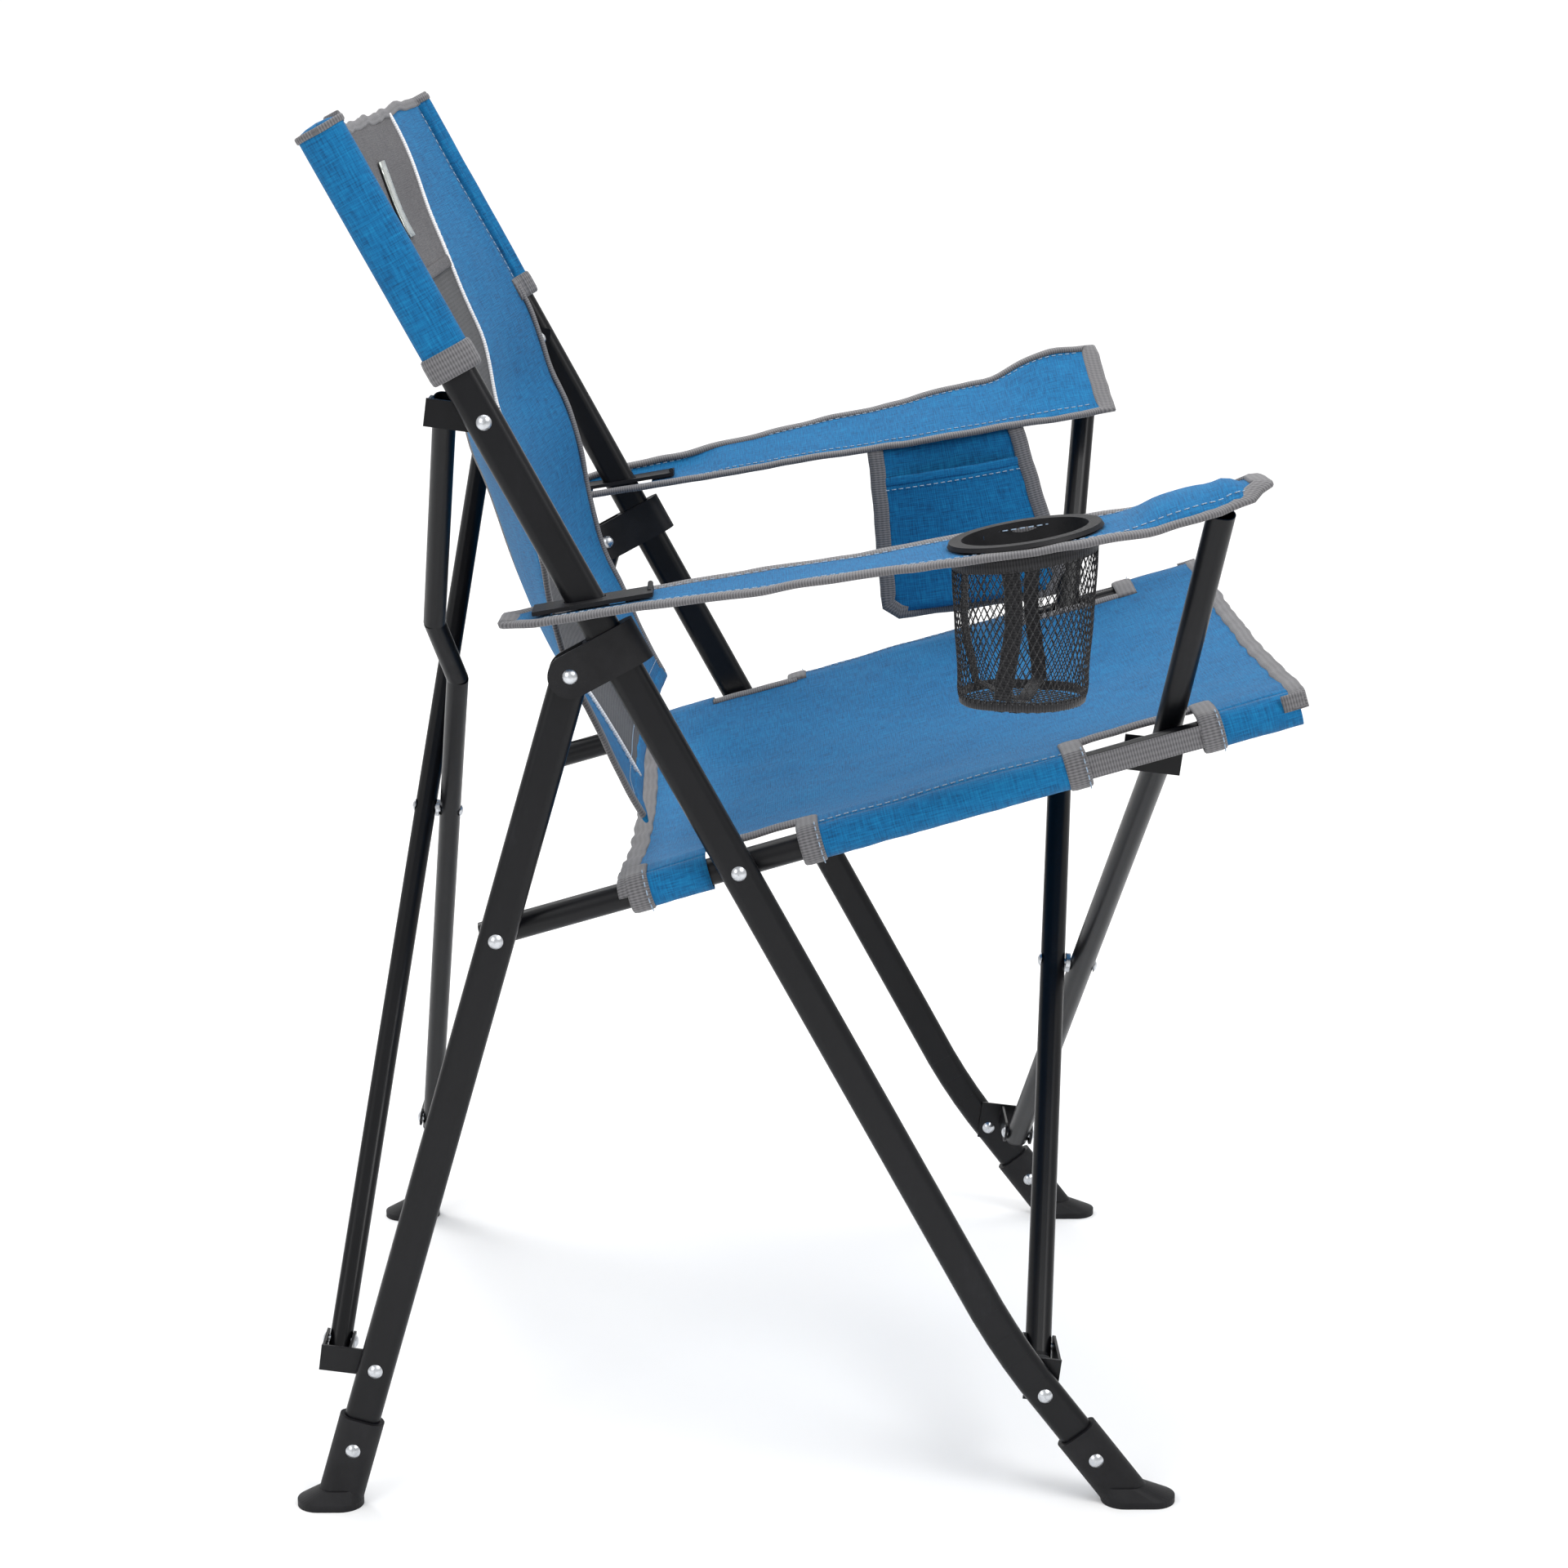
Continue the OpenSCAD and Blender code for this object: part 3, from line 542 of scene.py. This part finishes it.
for side, word in SIDES:
    tip = [seat_point(side * (RAIL_X + 0.012), SEAT_FRONT) + Vector((side * 0.001, 0, 0)) - along * k
           for k in (0.012, 0.006, 0.0, -0.004)]
    seat_parts.append(strip("seat_corner_" + word, tip, SEAT_UP, 0.013, 0.005, TAPE, wave=0.001))

# ---- Back ----

SLEEVE_A = 0.408     # lower end of the sleeves, along the post from the pivot
BACK_TOP = 0.598
BACK_LOW = 0.062
SLEEVE_X = 0.294     # where the cloth turns round the posts
SLEEVE_RUN = 0.082   # how much cloth goes round a post


def back_edge(a):
    return ramp(a, (BACK_LOW, 0.268), (0.25, 0.276), (SLEEVE_A, SLEEVE_X), (BACK_TOP, SLEEVE_X))


def back_forward(x, a):
    """How far the cloth is ahead of the line of the posts."""
    e = back_edge(a)
    k = max(0.0, 1 - (x / e) ** 2)
    edge = ramp(a, (BACK_LOW, -0.046), (0.16, -0.040), (0.33, -0.004), (SLEEVE_A, 0.008),
                (BACK_TOP, 0.006))
    depth = ramp(a, (BACK_LOW, 0.012), (0.3, 0.050), (0.5, 0.036), (BACK_TOP, 0.026))
    return edge - depth * k


def back_point(c, a):
    """c is the distance across the back from the middle, following the cloth."""
    side = -1 if c < 0 else 1
    d = abs(c)
    e = back_edge(a)
    if d <= e:
        p = post_pt(side * d, a, back_forward(d, a))
        return p + Vector((0, -0.88, 0.48)) * crumple(p, 0.0022, 8.0, 3.0)
    if a < SLEEVE_A - 1e-6:
        return post_pt(side * e, a, back_forward(e, a))
    # round the flat-oval post, from its front inner side over the outside
    turn = min(1.0, (d - e) / SLEEVE_RUN)
    ang = math.radians(lerp(118, -228, turn))
    cx, cf = math.cos(ang), math.sin(ang)
    lx = math.copysign(abs(cx) ** 0.8, cx) * 0.0098
    lf = math.copysign(abs(cf) ** 0.9, cf) * 0.0168
    p = post_pt(side * (W / 2 + lx), a, lf)
    return p + Vector((side, -0.3, 0)) * (0.0007 * noise.noise(Vector((a * 40, turn * 4, side))))


def piping_x(a):
    return ramp(a, (BACK_LOW, 0.125), (0.30, 0.120), (0.42, 0.140), (BACK_TOP, 0.196))


NET_TOP = 0.470      # the net is below this and the grey cloth above


def build_back(name, where):
    """where is 0 for the cloth between the posts, -1 or 1 for the sleeve on one post."""
    rows_a = steps(BACK_LOW, SLEEVE_A, 0.007) + steps(SLEEVE_A, BACK_TOP, 0.007)[1:]
    inner, outer, turns = 12, 14, 22      # cells to the piping, to the post and round it
    rows, uv = [], []
    for a in rows_a:
        e = back_edge(a)
        px = piping_x(a)
        half = [px * k / inner for k in range(inner + 1)]
        half += [lerp(px, e, k / outer) for k in range(1, outer + 1)]
        half += [e + SLEEVE_RUN * k / turns for k in range(1, turns + 1)]
        cs = [-c for c in reversed(half[1:])] + half
        rows.append([back_point(c, a) for c in cs])
        uv.append([(c, a) for c in cs])
    mid = inner + outer + turns

    def keep(i, j):
        d = j + 0.5 - mid
        if where:
            return d * where > inner + outer and (rows_a[i] + rows_a[i + 1]) / 2 > SLEEVE_A
        return abs(d) < inner + outer

    def pick(i, j):
        d = abs(j + 0.5 - mid)
        if d > inner:
            return 0
        return 1 if (rows_a[i] + rows_a[i + 1]) / 2 > NET_TOP else 2

    return sheet_object(name, rows, uv, BLUE, keep, mats=[GREY, NET], pick=pick)


back = build_back("back_cloth", 0)
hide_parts("back_sling")
back_parts = [back]
for side, word in SIDES:
    sleeve = build_back("back_tube_" + word, side)
    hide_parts("back_sleeve_" + word)
    back_parts.append(sleeve)
post_dir = post_pt(0, 1) - post_pt(0, 0)
forward = post_pt(0, 0, 1) - post_pt(0, 0, 0)
for side, word in SIDES:
    line = [back_point(side * piping_x(a), a) + forward * 0.0014
            for a in steps(BACK_LOW, BACK_TOP, 0.008)]
    back_parts.append(strip("back_piping_" + word, line, Vector((1, 0, 0)), 0.0034, 0.0034, PIPE, 8))
    line = [back_point(side * (piping_x(a) + 0.008), a) + forward * 0.0010
            for a in steps(BACK_LOW, BACK_TOP, 0.004)]
    back_parts.append(stitches("back_stitch_" + word, line))
    edge = [back_point(side * back_edge(a), a) for a in steps(BACK_LOW, SLEEVE_A + 0.012, 0.007)]
    back_parts.append(strip("back_edge_" + word, edge, Vector((1, 0, 0)), 0.015, 0.0042, TAPE, wave=0.0012))
    cuff_a = SLEEVE_A + 0.009
    cuff = [back_point(side * (back_edge(cuff_a) + SLEEVE_RUN * k / 34), cuff_a) for k in range(-4, 35)]
    cuff = [p + (p - post_pt(side * W / 2, cuff_a)).normalized() * 0.0012 for p in cuff]
    back_parts.append(strip("back_cuff_" + word, cuff, post_dir, 0.020, 0.0034, TAPE))
    seam = [back_point(side * (back_edge(a) - 0.004), a) + forward * 0.0010
            for a in steps(SLEEVE_A + 0.02, BACK_TOP - 0.01, 0.004)]
    back_parts.append(stitches("back_sleeve_stitch_" + word, seam))
top = [back_point(c, BACK_TOP) for c in steps(-0.30, 0.30, 0.006)]
top = [p + post_dir * (0.001 + 0.003 * noise.noise(Vector((i * 0.13, 0, 2))))
       for i, p in enumerate(top)]
back_parts.append(strip("back_top_edge", top, post_dir, 0.009, 0.004, TAPE, wave=0.002))
for side, word in SIDES:
    over = [post_pt(side * (W / 2 + 0.0106 * math.cos(math.radians(k))), BACK_TOP - 0.0005,
                    0.0176 * math.sin(math.radians(k))) for k in range(0, 360, 15)]
    back_parts.append(strip("post_top_binding_" + word, over, post_dir, 0.005, 0.0026, TAPE,
                            closed=True, wave=0.001))
    lid = [[post_pt(side * (W / 2 + r * 0.0100 * math.cos(math.radians(k))),
                    BACK_TOP + 0.004 - 0.003 * r * r, r * 0.0170 * math.sin(math.radians(k)))
            for k in range(0, 361, 20)] for r in (0.02, 0.5, 1.0)]
    luv = [[(0.01 * i, 0.002 * j) for j in range(19)] for i in range(3)]
    back_parts.append(sheet_object("post_top_cap_" + word, lid, luv, BLUE))
low = [back_point(c, BACK_LOW) for c in steps(-0.268, 0.268, 0.008)]
back_parts.append(strip("back_low_hem", low, post_dir, 0.012, 0.004, BLUE, wave=0.0015))
low = [back_point(c, BACK_LOW + 0.014) + forward * 0.001 for c in steps(-0.262, 0.262, 0.004)]
back_parts.append(stitches("back_low_stitch", low))
net_x = piping_x(NET_TOP)
net_line = [back_point(c, NET_TOP) + forward * 0.0012 for c in steps(-net_x, net_x, 0.008)]
back_parts.append(strip("net_seam", net_line, post_dir, 0.010, 0.0022, GREY))
# the label is a plain metal plate of 4 by 6 cells
LABEL_X, LABEL_A = 0.050, 0.502
CELL_X, CELL_A = 0.006, 0.0105
label = [[back_point(LABEL_X + CELL_X * j, LABEL_A + CELL_A * i) + forward * 0.0026 for j in range(5)]
         for i in range(7)]
label_uv = [[(CELL_X * j, CELL_A * i) for j in range(5)] for i in range(7)]
back_parts.append(sheet_object("blank_label", label, label_uv, LABEL, thick=0.0016))

# ---- Armrests ----

ARM_REAR = -0.056    # rear end of the cloth, behind the plate
ARM_FRONT = {-1: 0.476, 1: 0.434}
CUP_HOLE = 0.049
SLOT_D, SLOT_X = 0.026, 0.0135       # half length and half width of the slot for the post


def arm_center(d):
    return ramp(d, (-0.05, 0.307), (0.0, 0.308), (0.20, 0.322), (0.36, 0.328), (0.48, 0.336))


def arm_half(side, d):
    """Half width; the left armrest closes to a rounded end and the right one ends square."""
    if side < 0:
        return ramp(d, (-0.058, 0.017), (-0.03, 0.027), (0.05, 0.031), (0.2, 0.043), (0.3, 0.053),
                    (0.34, 0.053), (0.42, 0.047), (0.455, 0.038), (ARM_FRONT[side], 0.020))
    return ramp(d, (-0.058, 0.017), (-0.03, 0.027), (0.05, 0.031), (0.2, 0.042), (0.3, 0.0505),
                (ARM_FRONT[side], 0.048))


def arm_height(side, d, v):
    """v runs from -1 inboard to 1 outboard."""
    if side < 0:
        rise = ramp(d, (0.395, 0.0), (0.44, 0.005), (0.46, 0.010), (ARM_FRONT[side], 0.017))
        crown = ramp(d, (0.37, 0.0), (0.41, 0.013), (0.45, 0.012), (ARM_FRONT[side], 0.0)) * (1 - v * v)
        return -0.0032 + rise + crown
    lift = ramp(d, (ARM_REAR, 0.006), (0.0, 0.013), (0.05, 0.014), (0.10, 0.017), (0.21, 0.022),
                (0.33, 0.030), (0.40, 0.047), (ARM_FRONT[side], 0.045))
    return -0.003 + lift * ((v + 1) / 2) ** ramp(d, (0.04, 4.0), (0.10, 1.0))


def arm_cloth_point(side, d, v):
    x = side * (arm_center(d) + v * arm_half(side, d))
    p = arm_pt(x, d, arm_height(side, d, v))
    soft = 0.0016 if side > 0 else ramp(abs(d - CUP_D), (0.06, 0.0003), (0.11, 0.0016))
    return p + Vector((0, 0, 1)) * crumple(p, soft * ramp(d, (0.04, 0.2), (0.1, 1.0)), 12.0, 5.0 + side)


def build_arm(side, word):
    ds = steps(ARM_REAR, ARM_FRONT[side], 0.006)
    vs = [k / 9 for k in range(-9, 10)]
    rows = [[arm_cloth_point(side, d, v) for v in vs] for d in ds]
    uv = [[(v * 0.05, d) for v in vs] for d in ds]

    def keep(i, j):
        d = (ds[i] + ds[i + 1]) / 2
        x = arm_center(d) + (vs[j] + vs[j + 1]) / 2 * arm_half(side, d)
        if abs(d) < SLOT_D and abs(x - W / 2) < SLOT_X:
            return False
        return side > 0 or math.hypot(d - CUP_D, x - ARM_X) > CUP_HOLE

    return sheet_object("armrest_cloth_" + word, rows, uv, BLUE, keep, thick=0.0026)


arm_parts = {}
for side, word in SIDES:
    end = ARM_FRONT[side]
    cloth = build_arm(side, word)
    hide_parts("armrest_" + word)
    parts = [cloth]
    rim = [arm_cloth_point(side, d, 1) for d in steps(ARM_REAR, end, 0.007)]
    rim += [arm_cloth_point(side, end, v) for v in (0.75, 0.5, 0.25, 0.0, -0.25, -0.5, -0.75)]
    rim += [arm_cloth_point(side, d, -1) for d in steps(end, ARM_REAR, 0.007)]
    rim += [arm_cloth_point(side, ARM_REAR, v) for v in (-0.6, 0.0, 0.6)]
    aim = []
    for i, p in enumerate(rim):
        t = (rim[(i + 1) % len(rim)] - rim[i - 1]).normalized()
        aim.append(t.cross(Vector((0, 0, 1))))
    parts.append(strip("armrest_binding_" + word, rim, aim, 0.016, 0.0052, TAPE, closed=True,
                       wave=0.0014))
    for v, tag in ((0.80, "out"), (-0.80, "in")):
        line = [arm_cloth_point(side, d, v) + Vector((0, 0, 0.0018))
                for d in steps(-0.03, end - 0.012, 0.004)]
        parts.append(stitches("armrest_stitch_%s_%s" % (word, tag), line))
    arm_parts[side] = parts

# ---- Cup bag ----

cup_c = arm_pt(-ARM_X, CUP_D)
BAG_H = 0.112
BAG_TOP = -0.005     # the bag hangs from this height at the ring
BAG_LOW_R = 0.043
FLOOR_PITCH = 0.005  # between the strands of its floor


def bag_point(ang, t):
    """t is 0 at the ring and 1 at the bottom."""
    r = ramp(t, (0, 0.0490), (0.08, 0.0508), (0.5, 0.0490), (0.93, 0.0465), (1, BAG_LOW_R))
    x = math.cos(ang) * r
    y = math.sin(ang) * r
    tilt = -y * math.tan(ARM_RISE) * (1 - t)
    wob = 0.0016 * math.sin(3 * ang + 5 * t) * t
    return cup_c + Vector((x + wob, y - wob, BAG_TOP + tilt - t * BAG_H))


def build_net():
    """Slanting strands round the wall, and two crossed sets over the floor."""
    cells, levels = 60, 22
    segs = []
    for j in range(levels):
        for i in range(cells):
            a0 = 2 * math.pi * (i + 0.5 * (j % 2)) / cells
            p = bag_point(a0, j / levels)
            for k in (-0.5, 0.5):
                segs.append((p, bag_point(a0 + 2 * math.pi * k / cells, (j + 1) / levels)))
    mid = (bag_point(0, 1) + bag_point(math.pi, 1)) / 2 + Vector((0, 0, -0.001))
    for i in range(-8, 9):
        h = math.sqrt(BAG_LOW_R ** 2 - (i * FLOOR_PITCH) ** 2) - 0.0004
        for s in (-1, 1):
            d = Vector((1, s, 0)).normalized()
            q = mid + Vector((1, -s, 0)).normalized() * (i * FLOOR_PITCH)
            segs.append((q - d * h, q + d * h))
    return tubes("cup_net", segs, 0.00046, CORD, 4)


net = build_net()
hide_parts("cup_bag")
bag_parts = [net]
for t, w, tag in ((0.055, 0.011, "top"), (0.975, 0.007, "bottom")):
    hoop = [bag_point(2 * math.pi * k / 48, t) for k in range(48)]
    bag_parts.append(strip("bag_band_" + tag, hoop, Vector((0, 0, 1)), w, 0.0018, BLACK_TAPE,
                           closed=True, wave=0.0008))
for k, (a, w) in enumerate(((math.pi - 0.35, 0.013), (-0.3, 0.011), (0.9, 0.009))):
    run = []
    for t in [i / 14 for i in range(14)]:
        axis = cup_c + Vector((0, 0, BAG_TOP - t * BAG_H))
        run.append(bag_point(a + 0.12 * math.sin(4 * t), t) * 0.94 + axis * 0.06)
    foot = cup_c + Vector((0, 0, -0.0025 - BAG_H))
    run += [run[-1].lerp(foot, f) - Vector((0, 0, 0.004 * f)) for f in (0.35, 0.7, 1.0)]
    tangent = Vector((-math.sin(a), math.cos(a), 0))
    bag_parts.append(strip("bag_strap_%d" % k, run, tangent, w, 0.0014, BLACK_TAPE, wave=0.001))

# ---- Side pocket ----

POCKET_REAR = 0.227
POCKET_W = 0.124
POCKET_FRONT = POCKET_REAR + POCKET_W
POCKET_X = ARM_X - 0.048 - 0.002
POCKET_LOW = 0.146   # its lower edge, below the armrest
POUCH_TOP = 0.030    # the mouth of the pouch, below the armrest
DROP = 0.145         # over this drop it widens and leans forward


def pocket_pt(d, h, out):
    """d along the armrest, h below it, out sideways."""
    drift = 0.004 * math.sin(h * 30 + d * 20)
    x = POCKET_X + out + drift * (h / DROP)
    base = arm_pt(x, d + (d - POCKET_REAR) * 0.25 * h / DROP, -0.004)
    p = base + Vector((0, -0.014 * h / DROP, -h))
    return p + Vector((1, 0, 0)) * crumple(p, 0.0022, 14.0, 9.0)


def bulge(d):
    """0 at the sides of the pocket and 1 in its middle."""
    return math.sin(math.pi * min(1, max(0, (d - POCKET_REAR) / POCKET_W)))


def pocket_sheet(name, h0, out):
    ds = steps(POCKET_REAR, POCKET_FRONT, 0.008)
    hs = steps(h0, POCKET_LOW, 0.007)
    rows = [[pocket_pt(d, h, out * bulge(d)) for d in ds] for h in hs]
    uv = [[(d, h) for d in ds] for h in hs]
    return sheet_object(name, rows, uv, BLUE, thick=0.0014)


pocket = pocket_sheet("pocket_back", 0.0, 0.004)
pouch = pocket_sheet("pocket_front", POUCH_TOP, -0.010)
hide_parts("side_pocket")
pocket_parts = [pocket, pouch]
rim = [pocket_pt(POCKET_REAR, h, -0.001) for h in steps(0.0, 0.138, 0.008)]
rim += [pocket_pt(d, POCKET_LOW, -0.001) for d in steps(POCKET_REAR + 0.008, POCKET_FRONT - 0.008, 0.008)]
rim += [pocket_pt(POCKET_FRONT, h, -0.001) for h in steps(0.138, 0.0, 0.008)]
aim = [(rim[min(i + 1, len(rim) - 1)] - rim[max(i - 1, 0)]).cross(Vector((1, 0, 0)))
       for i in range(len(rim))]
pocket_parts.append(strip("pocket_binding", rim, aim, 0.014, 0.006, TAPE, wave=0.0014))
mouth = [pocket_pt(d, POUCH_TOP, -0.010 * bulge(d)) for d in steps(POCKET_REAR, POCKET_FRONT, 0.008)]
pocket_parts.append(strip("pocket_mouth_hem", mouth, Vector((0, 0, 1)), 0.008, 0.003, BLUE, wave=0.0008))
hem = [p + Vector((-0.0018, 0, -0.007)) for p in mouth]
pocket_parts.append(stitches("pocket_stitch", hem))

# ---- How each piece moves ----

# The seat and the back go with the left rail and the left frame, each with a mesh of its own;
# a piece that sits on one rail or one post only moves with it
for ob in seat_parts:
    word = ob.name.rstrip("_0123456789").split("_")[-1]
    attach(ob, "right_rail" if word == "right" else "left_rail")
    if word not in ("left", "right"):
        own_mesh(ob)
for ob in back_parts:
    fixed = ob.name.startswith(("back_tube", "back_cuff", "back_sleeve", "post_top"))
    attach(ob, "right_frame" if fixed and ob.name.endswith("_right") else "left_frame")
    if not fixed:
        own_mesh(ob)
# The armrest pieces get their transforms baked into their meshes
for side, word in SIDES:
    for ob in arm_parts[side]:
        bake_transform(ob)
for ob in bag_parts:
    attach(ob, "left_armrest")
for ob in pocket_parts:
    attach(ob, "right_armrest")

# ---- Studio ----

scene = bpy.context.scene
world = bpy.data.worlds.new("studio")
scene.world = world
world.use_nodes = True
background = world.node_tree.nodes["Background"]
background.inputs["Color"].default_value = (1, 1, 1, 1)
background.inputs["Strength"].default_value = 0.75

# a floor that curves up into a back wall, away from the camera
FLOOR_END = 1.6
CURVE = 1.8
profile = [(-6.0, 0.0), (FLOOR_END, 0.0)]
for k in range(5, 91, 5):
    turn = math.radians(k)
    profile.append((FLOOR_END + CURVE * math.sin(turn), CURVE - CURVE * math.cos(turn)))
profile.append((FLOOR_END + CURVE, 7.0))
rows = [[Vector((x, y, z)) for y in (-7, 0, 7)] for x, z in profile]
floor_look = Nodes("floor_pale")
floor_look.put(Base_Color=(0.93, 0.93, 0.93, 1), Roughness=0.9, Specular_IOR_Level=0.1)
floor_uv = [[(0.1 * p.x, 0.1 * p.y) for p in row] for row in rows]
floor = sheet_object("floor", rows, floor_uv, floor_look.mat, thick=0)


LIGHT_AIM = Vector((0, 0, 0.5))


def area(name, loc, size, power):
    light = bpy.data.lights.new(name, "AREA")
    light.shape = "RECTANGLE"
    light.size = size[0]
    light.size_y = size[1]
    light.energy = power
    ob = bpy.data.objects.new(name, light)
    ob.location = loc
    ob.rotation_euler = (LIGHT_AIM - Vector(loc)).to_track_quat("-Z", "Y").to_euler()
    scene.collection.objects.link(ob)


area("key", (-1.9, -1.6, 2.6), (1.4, 1.4), 46)
area("fill", (-2.3, 1.9, 1.7), (1.4, 1.8), 24)
area("top", (0.3, 0.0, 3.0), (2.4, 2.4), 40)
area("rim", (1.6, 1.4, 2.0), (0.8, 1.6), 20)

cam_data = bpy.data.cameras.new("photo_camera")
cam_data.lens = 75.0
cam_data.sensor_width = 36.0
cam_data.dof.use_dof = False
cam = bpy.data.objects.new("photo_camera", cam_data)
pitch = math.radians(-13.21)
yaw = math.radians(0.52)
look = Vector((math.cos(pitch) * math.cos(yaw), -math.cos(pitch) * math.sin(yaw), math.sin(pitch)))
cam.location = (-2.585, 0.0247, 1.092)
cam.rotation_euler = look.to_track_quat("-Z", "Y").to_euler()
scene.collection.objects.link(cam)
scene.camera = cam
scene.view_settings.view_transform = "Standard"
